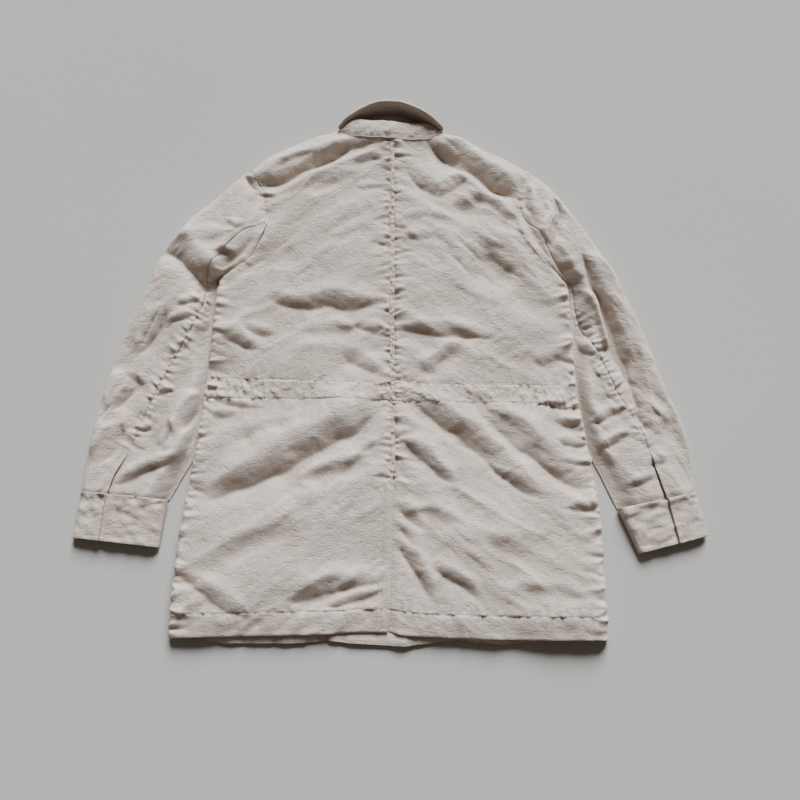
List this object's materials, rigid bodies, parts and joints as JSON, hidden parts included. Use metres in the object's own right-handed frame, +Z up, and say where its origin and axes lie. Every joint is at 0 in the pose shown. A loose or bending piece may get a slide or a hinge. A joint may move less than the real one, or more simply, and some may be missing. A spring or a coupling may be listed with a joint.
{
  "type": "parka",
  "caption": "Parka laid face down, back uppermost, with stand-up collar, waist casing, hem vent and slit cuffs.",
  "frame": {"origin": "on the floor under the middle of the garment's outline, at the centre of its bounding box's underside", "axes": "+X across the garment towards the wearer's right sleeve, +Y from the hem to the collar, +Z up from the floor"},
  "size_m": [0.973, 0.8631, 0.0461],
  "materials": {
    "shell_cloth": "stone beige crisp nylon and cotton shell cloth with a faint sheen and a fine crinkle"
  },
  "bodies": {
    "root": {"back_left": "shell_cloth", "back_right": "shell_cloth", "waist_casing_left": "shell_cloth", "waist_casing_right": "shell_cloth", "front_left": "shell_cloth", "front_right": "shell_cloth", "sleeve_left_upper": "shell_cloth", "sleeve_left_under": "shell_cloth", "sleeve_right_upper": "shell_cloth", "sleeve_right_under": "shell_cloth", "cuff_left": "shell_cloth", "cuff_right": "shell_cloth", "collar_back": "shell_cloth", "collar_front": "shell_cloth"}
  },
  "joints": []
}
